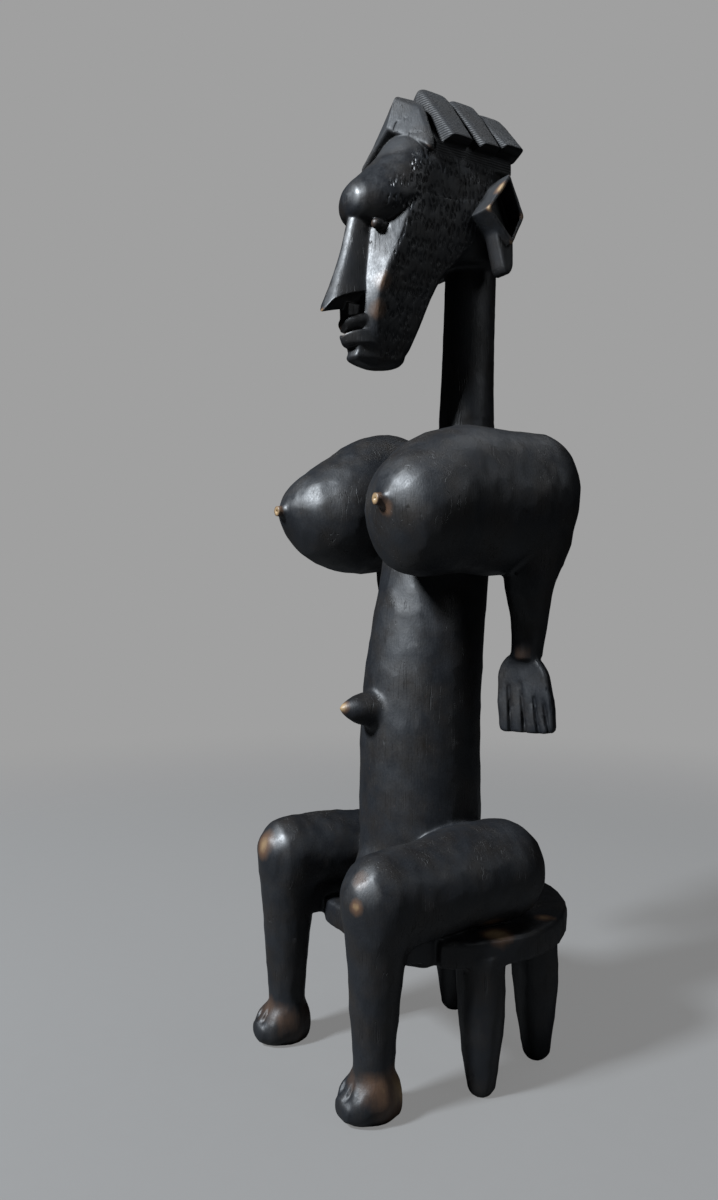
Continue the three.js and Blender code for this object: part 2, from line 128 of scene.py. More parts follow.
def facetForm(axis, rows, edge=2.0, mirror=False, straight=False):
    # a form with flat facets: rows are [place along the axis, corners of its section]
    first, second = [i for i in range(3) if i != axis]
    table = [[place, *np.ravel(corners)] for place, corners in rows]
    count = len(rows[0][1])
    outline = np.array(rows[len(rows) // 2][1], float)
    following = np.roll(outline, -1, axis=0)
    turn = np.sign(np.sum(outline[:, 0] * following[:, 1] - outline[:, 1] * following[:, 0]))

    def distance(*place):
        t = place[axis]
        corners = between(table, t, straight)
        a = np.abs(place[first]) if mirror else place[first]
        b = place[second]
        result = None
        for i in range(count - 1 if mirror else count):
            ax, ay = corners[2 * i], corners[2 * i + 1]
            bx, by = corners[(2 * i + 2) % (2 * count)], corners[(2 * i + 3) % (2 * count)]
            length = np.sqrt((bx - ax) ** 2 + (by - ay) ** 2)
            side = turn * ((a - ax) * (by - ay) - (b - ay) * (bx - ax)) / length
            result = side if result is None else smoothMax(result, side, edge)
        result = smoothMax(result, t - rows[-1][0], edge)
        return smoothMax(result, rows[0][0] - t, edge)
    return distance


class Wood:
    # a block of wood that forms are added to and cut from, each worked only in a box around it
    def __init__(self, low, high, step):
        self.low, self.step = np.array(low, float), step
        self.axes = [np.arange(low[i], high[i] + step / 2, step) for i in range(3)]
        self.field = np.full([len(a) for a in self.axes], 30.0, np.float32)

    def part(self, low, high, margin):
        cut = []
        for i in range(3):
            start = int((low[i] - margin - self.low[i]) / self.step)
            stop = int((high[i] + margin - self.low[i]) / self.step) + 2
            cut.append(slice(max(start, 0), min(stop, len(self.axes[i]))))
        shapes = [(-1, 1, 1), (1, -1, 1), (1, 1, -1)]
        return tuple(cut), [self.axes[i][cut[i]].reshape(shapes[i]) for i in range(3)]

    def add(self, form, low, high, blend=0.0):
        cut, place = self.part(low, high, blend + 8)
        self.field[cut] = smoothMin(self.field[cut], form(*place), blend)

    def cut(self, form, low, high, blend=0.0):
        cut, place = self.part(low, high, blend + 3)
        self.field[cut] = smoothMax(self.field[cut], -form(*place), blend)

    def surface(self):
        grid = openvdb.FloatGrid(background=3.0 * self.step)
        grid.copyFromArray(np.clip(self.field, -3 * self.step, 3 * self.step), tolerance=1e-6)
        points, quads = grid.convertToQuads(isovalue=0)
        return np.asarray(points, float) * self.step + self.low, np.asarray(quads)


# The stool and her legs

stool = {
    "x": 2.0, "y": -3.0, "radius": 147.0, "front": -132.0, "top": 177.0, "bottom": 145.0,
    "rim": 7.0,  # rounding of the rim
    "corner": (107.0, -95.0),  # the front is cut back beside both shins, from here out
    "legs": [(119, -41), (92, 64), (-62, 61), (-98, -46)],
    "legTop": 29.0, "legMid": 25.0, "legEnd": 16.5,
    "legDome": 14.0, "legFlat": 2.5,  # rounding of each leg's end, and how much of it is worn flat
    # the block that joins each shin to the seat: sides, front and back, and its slanted underside
    "web": (77.0, 107.0, -152.0, -60.0), "webTop": 205.0, "webFoot": 159.0, "webSlope": 0.14,
}
leg = {
    "x": 99.0, "y": -166.0, "kneeZ": 226.0, "hipRadius": 52.0, "hipZ": 229.0,
    "uneven": 6.0,  # her left thigh is the fuller one
    "ankle": 22.5, "calf": 31.5, "knee": 37.7, "kneeDome": 36.0,
    "footHalf": 28.5, "footX": 4.0,
    "toeCuts": (-0.9, 0.1, 1.1),  # places across the foot, in quarters of its width
    "toeCutHalf": 1.9, "toeCutReach": 18.0, "toeCutY": -208.0, "toeCutZ": 43.0,
}


def addStool(wood):
    s = stool
    r = s["radius"]

    def disc(x, y, z):
        out = np.sqrt((x - s["x"]) ** 2 + (y - s["y"]) ** 2) - r
        out = smoothMax(out, s["front"] - y, 5)
        out = smoothMax(out, np.minimum(np.abs(x) - s["corner"][0], s["corner"][1] - y), 1.5)
        up = np.maximum(z - s["top"], s["bottom"] - z)
        return smoothMax(out, up, s["rim"])
    wood.add(disc, (s["x"] - r, s["y"] - r, s["bottom"]), (s["x"] + r, s["y"] + r, s["top"]))
    for x, y in s["legs"]:
        rows = [
            [s["legDome"] - s["legFlat"], x, y, s["legEnd"], s["legEnd"]],
            [70, x, y, s["legMid"], s["legMid"]],
            [s["bottom"] + 10, x * 0.97, y * 0.97, s["legTop"], s["legTop"]],
        ]
        wood.add(roundForm(2, rows, lowDome=s["legDome"]),
                 (x - 32, y - 32, -6), (x + 32, y + 32, s["bottom"] + 12), 6)


def addLeg(wood, side):
    g = leg
    x = side * g["x"] - 2
    hipX = x - side * 4
    hip = g["hipRadius"] + side * g["uneven"]
    hipZ = g["hipZ"] + side * g["uneven"] * 0.6
    thigh = roundForm(1, [
        [-192, x, g["kneeZ"] - 2, 14, 18],
        [-186, x, g["kneeZ"] - 1, 25, 32],
        [-172, x, g["kneeZ"], 35, 44 + side * 2.5],
        [-152, x, g["kneeZ"] + 1, 40, 48 + side * 3],
        [-110, x, g["kneeZ"] + 2, 46, 49 + side * 4],
        [-58, hipX, hipZ, hip * 0.92, hip * 0.955],
        [2, hipX, hipZ, hip * 0.95, hip * 0.99],
    ], lowDome=3, highDome=hip)
    wood.add(thigh, (x - 62, -192, 160), (x + 62, 62, 296), 4)
    shin = roundForm(2, [
        [24, x - 2, g["y"], g["ankle"], g["ankle"]],
        [50, x - 2, g["y"], g["ankle"], g["ankle"]],
        [120, x - 2, g["y"] + 1, 27, 27.5],
        [175, x - 1, g["y"] + 2, g["calf"], 32.5],
        [233, x, g["y"], g["knee"], 37],
    ], highDome=g["kneeDome"])
    wood.add(shin, (x - 42, g["y"] - 42, 12), (x + 42, g["y"] + 42, 272), 16)
    inner, outer, front, back = stool["web"]
    corners = [(side * inner, front), (side * outer, front), (side * outer, back), (side * inner, back)]
    web = facetForm(2, [[z, corners] for z in (stool["bottom"] + 0.5, stool["webTop"])], edge=3)

    def slantedWeb(x, y, z):
        under = stool["webFoot"] - (y - front) * stool["webSlope"]
        return smoothMax(web(x, y, z), under - z, 3)
    near, far = sorted((side * inner, side * outer))
    wood.add(slantedWeb, (near, front, 140), (far, back, 206), 5)
    addFoot(wood, x - g["footX"])


def addFoot(wood, x):
    half = leg["footHalf"]
    foot = roundForm(1, [
        [-201, x - 3, 16, half * 0.55, 12], [-195, x - 2, 19, half * 0.78, 18],
        [-180, x - 1, 23, half * 0.96, 26], [-162, x, 24, half, 30], [-146, x, 22, half * 0.84, 25],
    ], square=2.3, lowDome=5, highDome=9)
    wood.add(foot, (x - 30, -208, -8), (x + 30, -132, 56), 8)
    for place in leg["toeCuts"]:
        middle = x + place * half / 2

        def toeCut(px, py, pz):
            reach = np.sqrt((py - leg["toeCutY"]) ** 2 + (pz - leg["toeCutZ"]) ** 2)
            return smoothMax(np.abs(px - middle) - leg["toeCutHalf"], reach - leg["toeCutReach"], 1.5)
        wood.cut(toeCut, (middle - 4, -212, 16), (middle + 4, -184, 62), 1)


# The trunk, shoulders, breasts, arms and hands

trunk = {
    "belly": 73.5, "bellyY": -38.0, "chestY": -17.0, "chest": 66.0,
    "navelZ": 414.0, "navelTip": -149.5,
    "breastX": 100.0, "tipX": 111.0, "tipY": -167.0, "tipZ": 649.0,
    "shoulderX": 118.0, "shoulderY": 34.0, "shoulderZ": 657.0, "uneven": 6.0,
    "nipple": 7.4, "nippleTip": -176.5, "nippleHole": 1.6,
    "leftFull": 12.0, "rightHigh": 9.0,  # her left breast is the fuller one, the right one sits higher
}
limbs = {
    "x": 131.0, "wristZ": 480.0, "wrist": 18.0,
    "handHalf": 35.0, "handTop": 485.0, "handLong": 91.0, "handThick": 6.5, "handY": 11.0,
    "turn": math.radians(18), "flare": 8.0, "arch": 32.0,
    "fingerCuts": [(-0.55, 56), (-0.06, 58), (0.42, 50), (0.78, 42)],  # place across the palm, length
    "cutHalf": (1.2, 1.9), "cutDeep": 5.5,  # half width of a cut at its top and its foot, and its depth
}


def addTrunk(wood):
    t = trunk
    r, y = t["belly"], t["bellyY"]
    body = roundForm(2, [
        [160, 0, y + 4, r * 1.02, r * 0.98],
        [260, 0, y, r, r],
        [430, 0, y + 3, r * 0.98, r * 0.98],
        [571, 0, t["chestY"], t["chest"], t["chest"]],
        [660, 0, t["chestY"] + 14, r * 0.95, r * 0.8],
        [712, 0, t["chestY"] + 26, r * 0.75, r * 0.55],
    ], highDome=20)
    wood.add(body, (-80, -118, 160), (80, 80, 734), 6)
    z = t["navelZ"]
    navel = roundForm(1, [
        [t["navelTip"], 0, z + 3, 3.5, 3.5], [-142, 0, z + 2, 10.5, 10], [-131, 0, z + 1, 16, 15.5],
        [-117, 0, z, 19.5, 19.5], [-100, 0, z - 1, 22, 22], [-80, 0, z - 2, 24, 24],
    ], lowDome=1.5)
    wood.add(navel, (-26, -152, z - 26), (26, -78, z + 26), 7)
    groin = roundForm(1, [
        [-120, 0, 212, 26, 26],
        [-104, 0, 222, 38, 34],
        [-68, 0, 228, 50, 44],
    ], lowDome=10, edge=4)
    wood.add(groin, (-52, -132, 178), (52, -68, 274), 8)

    def yoke(x, py, pz):
        across = np.clip(x / (t["shoulderX"] - 6), -1, 1)
        rise = 1 - across**2
        u = (py - (t["shoulderY"] - 26)) / (58 - 6 * across**2)
        middle = t["shoulderZ"] + 6 + 18 * rise - across * t["uneven"]
        v = (pz - middle) / (68 - 4 * rise)
        q = (np.abs(u) ** 2.3 + np.abs(v) ** 2.3) ** (1 / 2.3)
        reach = np.sqrt((u * 58) ** 2 + (v * 66) ** 2) + 1e-3
        result = reach - reach / np.maximum(q, 1e-3)
        return smoothMax(result, np.abs(x) - t["shoulderX"] + 6, 8)
    wood.add(yoke, (-118, -55, 590), (118, 72, 750), 10)


def addBreast(wood, side):
    t = trunk
    lift = side * t["uneven"]
    full, high = (t["leftFull"], 0) if side > 0 else (0, t["rightHigh"])
    tipX, tipZ, armX, armZ = side * t["tipX"], t["tipZ"], t["shoulderX"], t["shoulderZ"]
    cone = roundForm(1, [
        [t["tipY"], tipX, tipZ, 11, 10],
        [-160, side * (109 - full * 0.2), tipZ - full * 0.3, 27 + full * 0.4, 23 + full * 0.5],
        [-147, side * (106 - full * 0.4), tipZ - 1 - full * 0.5, 46 + full * 0.7, 41 + full * 0.8],
        [-130, side * (103 - full * 0.5), tipZ - 3 - full * 0.5, 58 + full * 0.9, 56 + full * 0.8],
        [-112, side * (t["breastX"] - full * 0.5), tipZ - 2 - full * 0.3, 65.5 + full * 0.8, 67 + full * 0.6],
        [-62, side * t["breastX"], armZ - 3 + high * 0.5, 69, 82 + high * 0.5],
        [-6, side * (armX - 9), armZ + 1 - lift + high * 0.5, 68, 82 + high * 0.5],
        [34, side * (armX + 2), armZ + 10 - lift + high * 0.3, 57, 71],
    ], lowDome=4, highDome=50)
    wood.add(cone, (side * 108 - 72, -175, 560), (side * 108 + 72, 86, 745), 7)
    nipple = roundForm(1, [
        [t["nippleTip"], tipX, tipZ, t["nipple"], t["nipple"]],
        [t["tipY"] + 10, tipX, tipZ, t["nipple"], t["nipple"]],
    ], edge=1.5)
    wood.add(nipple, (tipX - 9, -180, 638), (tipX + 9, -156, 660), 1)

    def hole(x, y, z):
        return np.sqrt((x - tipX) ** 2 + (z - tipZ) ** 2) - t["nippleHole"] + 0 * y
    wood.cut(hole, (tipX - 3, -180, 645), (tipX + 3, -170, 653))


def addArm(wood, side):
    m = limbs
    x = side * m["x"]
    form = roundForm(2, [
        [m["wristZ"], x, 15, m["wrist"], m["wrist"]],
        [514, x, 18, 21, 22],
        [560, x, 19, 28, 29],
        [602, x - side * 3, 29, 37, 43],
        [655, side * 124, 30, 46, 50],
    ], lowDome=8, highDome=20)
    wood.add(form, (x - 50, -26, 468), (x + 50, 82, 676), 5)
    addHand(wood, side)


def addHand(wood, side):
    # a flat hand hangs open with its palm ahead, and four cuts part the fingers
    m = limbs
    turn = side * m["turn"]
    bottom = m["handTop"] - m["handLong"]

    def palmPlace(x, y, z):
        px, py = x - side * m["x"], y - m["handY"]
        u = px * math.cos(turn) + py * math.sin(turn)
        v = px * math.sin(turn) - py * math.cos(turn)
        slant = side * m["flare"] * ((m["handTop"] - z) / m["handLong"] - 0.4)
        return u - slant, v

    def palm(x, y, z):
        u, v = palmPlace(x, y, z)
        half = m["handHalf"] * np.clip(1 - (z - bottom - 30) / 480, 0.88, 1.0)
        up = np.maximum(z - (m["handTop"] - m["arch"]), 0) / m["arch"]
        q = np.sqrt((u / half) ** 2 + up**2)
        sides = (q - 1) * half * 0.9 + 0 * v
        outline = smoothMax(sides, bottom + side * u * 0.06 - z, 9)
        return smoothMax(outline, np.abs(v) - m["handThick"], 4)
    low = (side * m["x"] - 45, -16, bottom - 6)
    high = (side * m["x"] + 45, 38, m["handTop"] + 6)
    wood.add(palm, low, high, 3)
    for share, length in m["fingerCuts"]:
        start = side * share * m["handHalf"]
        top = bottom + length

        def cut(x, y, z):
            u, v = palmPlace(x, y, z)
            fade = np.clip((top - z) / length, 0, 1)
            half = m["cutHalf"][0] + (m["cutHalf"][1] - m["cutHalf"][0]) * fade
            width = np.abs(u - start * (0.9 + 0.15 * fade)) - half
            depth = m["handThick"] - m["cutDeep"] * np.sqrt(fade) - v
            return smoothMax(np.maximum(width, depth), z - top, 2)
        wood.cut(cut, low, high, 0.8)


# The head: neck, face, skull, ears and hair

head = {
    "neckY": 33.0, "neck": 34.5, "neckTopY": 41.0, "neckTop": 31.5,
    "eyeX": 25.5, "eyeY": -118.5, "eyeZ": 971.5, "eye": 5.7,
    "noseTip": -176.0, "noseBase": -112.0, "noseTipZ": 868.0, "noseFlare": 24.0,
    "slitZ": 846.0, "slitRise": 0.42, "slitHalf": 1.3,
    "lipHalf": 21.0, "lipFoot": 834.0, "lipY": -118.0, "upperReach": 33.5, "lowerReach": 33.0,
    "face": [  # height, front, half width beside the nose, ridge of the cheek, back of the jaw
        (811, -116, 6, 9, -112, 9, -98), (815, -130, 9, 13, -118, 15, -86),
        (830, -136, 13, 19, -116, 22, -74), (850, -133, 15, 25, -117, 27, -64),
        (875, -132, 16, 31, -119, 31, -54), (900, -130, 17, 36, -117, 34, -44),
        (925, -127, 17, 40, -108, 38, -30), (950, -123, 17, 44, -98, 42, -8),
        (980, -118, 17, 48, -88, 46, 10), (1010, -108, 17, 50, -76, 49, 20),
    ],
    "nose": [(903, -163.6, 16.8), (938, -151.6, 14.8), (988, -139, 14)],  # height, ridge, half width
    "skull": [
        [948, 0, 32, 39, 44], [972, 0, 19, 48, 60], [1008, 0, 14, 51, 66],
        [1045, 0, 12, 50, 68], [1068, 0, 10, 43, 66], [1092, 0, 6, 26, 56],
    ],
    "brow": [
        [-145, 0, 1002, 7, 6], [-142, 0, 1002, 17.5, 14.5], [-136, 0, 1003, 26.5, 22],
        [-126, 0, 1005, 34, 29.5], [-114, 0, 1009.5, 41.5, 37], [-97, 0, 1019, 48.5, 46],
        [-78, 0, 1032, 52, 57], [-50, 0, 1035, 51, 57], [-16, 0, 1034, 50, 57],
    ],
}
earSizes = {
    "inner": 36.0, "outer": 82.0, "pocket": 24.0, "rim": 5.5, "y": 31.0, "z": 996.0,
    "front": 31.0, "back": 25.0, "top": 47.0, "bottom": 37.0,
    "lobe": 57.0, "lobeInner": 49.0, "lobeOuter": 73.0, "uneven": 12.0,
}
hair = {
    "reach": 60.0, "crest": 1157.0, "thick": 13.0, "crestRound": 9.0, "square": 5,
    "front": [  # sections of the front lock, folded like a prow, from her right to her left
        [-56, [(-58, 1084), (-76, 1085), (-90, 1066), (-82, 1059), (-58, 1058)]],
        [0, [(-45, 1142), (-75, 1140), (-88, 1097), (-79, 1090), (-45, 1082)]],
        [26, [(-50, 1124), (-58, 1123), (-77, 1081), (-69, 1075), (-50, 1070)]],
        [55, [(-56, 1070), (-60, 1069), (-66, 1062), (-61, 1057), (-56, 1055)]],
    ],
    "locks": [  # middle and half width at the crest, then at the end, with how high and steep
        (-22, 22, -20, 16, 7, 1.42),
        (23, 21.5, 24, 13, 5, 1.38),
        (64, 22.5, 59, 15, -3, 1.13),
    ],
}


def addNeck(wood):
    h = head
    form = roundForm(2, [
        [700, 0, h["neckY"] - 2, h["neck"] + 3, h["neck"] + 3],
        [760, 0, h["neckY"], h["neck"], h["neck"]],
        [985, 0, h["neckTopY"], h["neckTop"], h["neckTop"]],
    ])
    wood.add(form, (-40, -10, 690), (40, 80, 986), 9)


def addFace(wood):
    h = head

    def level(z, front, nose, ridgeX, ridgeY, jawX, jawY):
        return [z, [(0, front), (nose, front + 2), (ridgeX, ridgeY),
                    ((ridgeX + jawX) / 2 + 2, (ridgeY + jawY) / 2), (jawX, jawY),
                    (jawX * 0.55, jawY + 8), (0, jawY + 11)]]
    wedge = facetForm(2, [level(*one) for one in h["face"]], edge=3, mirror=True)
    wood.add(wedge, (-56, -140, 811), (56, 35, 1010), 2)
    for side in (1, -1):
        x = side * h["eyeX"]
        peg = roundForm(1, [
            [y, x, h["eyeZ"], h["eye"], h["eye"]] for y in (h["eyeY"], h["eyeY"] + 20)
        ], lowDome=h["eye"] * 0.9)
        wood.add(peg, (x - 9, -130, 960), (x + 9, -98, 980), 1.2)


def addNose(wood):
    h = head
    base = h["noseBase"]

    def level(z, ridge, half):
        return [z, [(0, ridge), (half * 0.45, ridge + 1), (half * 0.82, ridge + 5.5), (half, ridge + 14),
                    (half, base), (0, base)]]
    bar = facetForm(2, [
        level(h["noseTipZ"] - 6, h["noseTip"] - 1, h["noseFlare"] + 1),
        level(h["noseTipZ"], h["noseTip"], h["noseFlare"]),
        *[level(*one) for one in h["nose"]],
    ], edge=6, mirror=True)

    def cutBelow(x, y, z):
        # a keel runs level in the middle, and the flanks are hollowed up on both sides of it
        back = np.maximum(y - h["noseTip"] + 1, 0)
        flank = step(np.abs(x), 0, 15)
        keel = 0.25 * back
        under = h["noseTipZ"] + keel + (3.8 * np.sqrt(back) - keel) * flank
        return smoothMax(bar(x, y, z), (under - z) * 0.8, 1.5)
    wood.add(cutBelow, (-27, -180, 862), (27, base, 990), 2.5)


def addMouth(wood):
    # two lips stand out like a beak; the slit between them rises from the middle to both corners
    h = head
    low, rise = h["slitZ"], h["slitRise"]

    def plan(x, y, reach):
        q = np.sqrt((x / h["lipHalf"]) ** 2 + ((y - h["lipY"]) / reach) ** 2)
        return (q - 1) * h["lipHalf"]

    def upperLip(x, y, z):
        middle = low + 10 + rise * np.abs(x)
        return smoothMax(plan(x, y, h["upperReach"]), (np.abs(z - middle) - 8.5) * 0.86, 8)

    def lowerLip(x, y, z):
        top = low - 1.5 + rise * np.abs(x)
        reach = h["lowerReach"] - np.clip(top - z, 0, 20) * 0.45
        return smoothMax(plan(x, y, reach), np.maximum(z - top, h["lipFoot"] - z) * 0.86, 4)

    def ridge(x, y, z):
        # the strip between the nose and the upper lip
        sides = np.abs(x) - 8 - (z - 850) * 0.08
        return smoothMax(sides, smoothMax(-147 - y, np.abs(z - 862) - 20, 2), 3)
    box = (-24, -156, 828), (24, -112, 886)
    wood.add(ridge, *box, 2)
    wood.add(upperLip, *box, 1)
    wood.add(lowerLip, *box, 1)

    def slit(x, y, z):
        middle = low + rise * np.abs(x)
        return smoothMax(np.abs(z - middle) - h["slitHalf"], np.maximum(y + 138, np.abs(x) - 17), 1)
    wood.cut(slit, *box, 1)


def addSkull(wood):
    dome = roundForm(2, head["skull"], square=2.3, highDome=10, edge=8)
    wood.add(dome, (-54, -64, 948), (54, 94, 1102), 8)
    rows = head["brow"]
    upper, lower = roundForm(1, rows), roundForm(1, rows, square=2.7)

    def brow(x, y, z):
        # broad below, over the eyes, and narrowing to its top like the bow of a boat
        middle, = between([[row[0], row[2]] for row in rows], y)
        narrowing = 1 + 0.28 * np.clip((z - middle) / 60, 0, 1) * np.clip((-60 - y) / 50, 0, 1)
        return np.where(z > middle, upper(x * narrowing, y, z), lower(x, y, z))
    wood.add(brow, (-54, -150, 960), (54, -16, 1092), 3)


def addEar(wood, side):
    e = earSizes

    def diamond(inset):
        return [(e["y"] + 2, e["z"] + e["top"] - inset * 1.5), (e["y"] + e["back"] - inset, e["z"]),
                (e["y"] + 6, e["z"] - e["bottom"] + inset * 1.5), (e["y"] - e["front"] + inset, e["z"])]

    def slab(corners, start, stop, edge):
        low, high = sorted((side * start, side * stop))
        return facetForm(0, [[low, corners], [high, corners]], edge=edge)
    reach = side * (e["inner"] + e["outer"]) / 2
    low, high = (reach - 26, e["y"] - 33, e["z"] - 45), (reach + 26, e["y"] + 28, e["z"] + 50)
    wood.add(slab(diamond(0), e["inner"], e["outer"], 2.5), low, high, 1.5)
    wood.cut(slab(diamond(e["rim"]), e["outer"] - e["pocket"], e["outer"] + 8, 2), low, high, 1.5)
    drop = e["lobe"] + side * e["uneven"]
    y, z = e["y"], e["z"]
    lobe = [(y - 13, z - 14), (y + 16, z - 26), (y + 16, z - drop + 9), (y + 9, z - drop),
            (y + 1, z - drop + 5)]
    wood.add(slab(lobe, e["lobeInner"], e["lobeOuter"], 4),
             (reach - 36, y - 16, z - drop - 3), (reach + 26, y + 20, z - 10), 2)


def addHair(wood):
    bed = facetForm(1, [
        [y, [(0, 1135), (45, 1076), (45, 1060), (0, 1060)]] for y in (-48, 68)
    ], mirror=True)
    wood.add(bed, (-46, -48, 1060), (46, 68, 1136), 5)
    frontLock = facetForm(0, hair["front"], edge=5, straight=True)
    wood.add(frontLock, (-60, -96, 1050), (60, -40, 1146), 1.5)
    for one in hair["locks"]:
        addLock(wood, *one)


def addLock(wood, crestY, crestHalf, endY, endHalf, raised, fall):
    # a thick strap of hair hangs over both sides of the crest, and is cut level at its ends
    k = hair
    steep = math.cos(math.atan(fall))

    def distance(x, y, z):
        across = np.sqrt(x**2 + k["crestRound"] ** 2)
        share = np.clip(np.abs(x) / k["reach"], 0, 1)
        surface = k["crest"] + raised + fall * (k["crestRound"] * 0.55 - across)
        thick = k["thick"] * (1.15 - 0.3 * share**2)
        u = (y - crestY - (endY - crestY) * share) / (crestHalf + (endHalf - crestHalf) * share)
        v = (z - surface) * steep / thick + 1.0
        q = (np.abs(u) ** k["square"] + np.abs(v) ** k["square"]) ** (1 / k["square"])
        result = (q - 1) * thick
        end = k["crest"] + raised - fall * k["reach"] * 0.93 - 8
        level = end - z + 0.25 * (np.abs(x) - k["reach"] * 0.8)
        return smoothMax(result, level, 2)
    low = (-k["reach"] - 4, crestY - crestHalf - 3, k["crest"] - 110)
    high = (k["reach"] + 4, crestY + crestHalf + 3, k["crest"] + 6)
    wood.add(distance, low, high, 1.5)


def carveBody():
    wood = Wood((-187.5, -217.5, -6), (187.5, 150, 780), carving["bodyStep"])
    addStool(wood)
    addTrunk(wood)
    for side in (1, -1):
        addLeg(wood, side)
        addBreast(wood, side)
        addArm(wood, side)
    addNeck(wood)

    def belowFloor(x, y, z):
        return z + 0 * (x + y)
    wood.cut(belowFloor, (-190, -220, -8), (190, 152, 0))
    return wood.surface()


def carveHead():
    wood = Wood((-95, -190, 745), (95, 112, 1166), carving["headStep"])
    addNeck(wood)
    addFace(wood)
    addSkull(wood)
    addNose(wood)
    addMouth(wood)
    for side in (1, -1):
        addEar(wood, side)
    addHair(wood)
    return wood.surface()


# Tool marks: the surface is moved in and out by the adze, the chisel and cracks

marks = {
    "adze": (15.0, 15.0, 23.0), "adzeDeep": 0.95,  # facets below the neck: cell size and hollow
    "knife": (9.0, 9.0, 13.0), "knifeDeep": 0.26,  # smoother cuts on the head
    "gouge": (math.inf, 6.4, 21.0), "gougeDeep": 1.5,  # short upright notches over temples and jaws
    "fleck": (4.5, 4.5, 4.0), "fleckDeep": 0.1,  # nicks at the top of the brow
    "swell": 0.8,  # slow unevenness of the whole surface
    # the notched side of the head ends at this place behind the face, at these heights
    "jawZ": [811, 850, 900, 950, 985, 1010, 1064], "jawBackY": [-92, -58, -38, 0, 20, 30, 44],
    "cracks": [  # open cracks in the front lock, with their half width and depth
        ([(10, -79, 1104), (9, -82, 1097.5), (9, -83, 1093)], 0.8, 1.3),
        ([(29, -74, 1079), (28, -73, 1085), (34, -70, 1084), (40, -66, 1084)], 0.8, 1.3),
        ([(17, -73, 1108), (22, -71, 1106)], 0.7, 1.0),
        ([(31, -72, 1082), (37, -68, 1081)], 0.7, 1.0),
    ],
}
zones = {  # parts of the head worked or rubbed alike; each edge fades over a stretch
    "templeZ": ((812, 824), (1058, 1066)), "templeFront": (-122, -104), "templeOut": (55, 57),
    "browTopZ": ((1022, 1044), (1092, 1100)), "browTopY": ((-118, -100), (-64, -56)),
    "browZ": ((972, 986), (1050, 1070)), "browBack": (-80, -60),
    "faceZ": ((800, 812), (1034, 1064)), "faceBack": (-104, -84),
    "earZ": ((940, 950), (1048, 1056)), "earOut": (56, 64),
    "hairZ": (1058, 1066), "hairFront": (-47, -41), "neckBack": (36, 46),
}


def cells(points, size, seed):
    # distance to the nearest of scattered cell middles, in cell widths; an endless cell has no middle
    scaled = points / np.asarray(size, float)
    base = np.floor(scaled).astype(np.int64)
    counted = np.isfinite(size)
    nearest = np.full(len(points), 9.0)
    for shift in itertools.product((-1, 0, 1), repeat=3):
        cell = base + shift
        code = cell[:, 0] * 73856093 ^ cell[:, 1] * 19349663 ^ cell[:, 2] * 83492791 ^ seed * 2654435761
        jitter = np.empty_like(scaled)
        for k in range(3):
            code = (code * 1103515245 + 12345 + k) & 0x7FFFFFFF
            jitter[:, k] = 0.12 + 0.76 * ((code >> 8) & 0xFFFF) / 65536
        away = np.sqrt(np.sum(((cell + jitter - scaled) * counted) ** 2, axis=1))
        nearest = np.minimum(nearest, away)
    return nearest


def waves(points, length, seed):
    # slow waves in a few fixed directions, between -1 and 1
    draw = np.random.default_rng(seed)
    total = np.zeros(len(points))
    for _ in range(7):
        way = draw.normal(size=3)
        way *= 2 * math.pi / (np.linalg.norm(way) * length * draw.uniform(0.7, 1.5))
        total += np.sin(points @ way + draw.uniform(0, 6.28))
    return total / 7 * 1.6


def vertexNormals(points, quads):
    corners = points[quads]
    faceNormals = np.cross(corners[:, 2] - corners[:, 0], corners[:, 3] - corners[:, 1])
    normals = np.zeros_like(points)
    for corner in range(4):
        for k in range(3):
            normals[:, k] += np.bincount(quads[:, corner], faceNormals[:, k], len(points))
    return normals / np.maximum(np.linalg.norm(normals, axis=1, keepdims=True), 1e-9)


def pits(points, size, seed, rims):
    # scattered hollows, 1 in the middle and 0 at their rims
    return 1 - step(cells(points, size, seed), *rims)


def onTemple(points, normals):
    x, y, z = points.T
    back = np.interp(z, marks["jawZ"], marks["jawBackY"])
    sideways = step(np.abs(normals[:, 0]), 0.72, 0.9) * (1 - step(np.abs(x), *zones["templeOut"]))
    return sideways * step(back - y, 0, 8) * within(z, *zones["templeZ"]) * step(y, *zones["templeFront"])


def onBrowTop(points):
    x, y, z = points.T
    return within(z, *zones["browTopZ"]) * within(y, *zones["browTopY"])


def crackDepth(points, path, half, deep):
    nearest = np.full(len(points), 99.0)
    for start, end in zip(path, path[1:]):
        start, way = np.array(start, float), np.subtract(end, start).astype(float)
        share = np.clip((points - start) @ way / (way @ way), 0, 1)
        nearest = np.minimum(nearest, np.linalg.norm(points - start - share[:, None] * way, axis=1))
    return deep * (1 - step(nearest, 0, half * 2))


def toolMarks(points, normals, isHead):
    size, deep = (marks["knife"], marks["knifeDeep"]) if isHead else (marks["adze"], marks["adzeDeep"])
    nearest = cells(points + 4 * waves(points, 60, 3)[:, None], size, 11)
    offset = deep * (np.minimum(nearest, 1) ** 2 * 1.6 - 1)
    offset += (0.25 if isHead else 1.0) * marks["swell"] * waves(points, 90, 5)
    if isHead:
        patchy = 0.55 + 0.45 * waves(points, 26, 8)
        bySide = points + (points[:, :1] < 0) * (0, 0, 400)  # the two sides are notched differently
        gouges = pits(bySide + 1.2 * waves(points, 9, 4)[:, None], marks["gouge"], 21, (0.06, 0.24))
        offset -= marks["gougeDeep"] * onTemple(points, normals) * gouges * np.clip(patchy + 0.3, 0.3, 1.1)
        flecks = pits(points, marks["fleck"], 31, (0.12, 0.5))
        offset -= marks["fleckDeep"] * onBrowTop(points) * flecks * np.clip(patchy, 0, 1)
        for path, half, crackDeep in marks["cracks"]:
            offset -= crackDepth(points, path, half, crackDeep)
    return offset


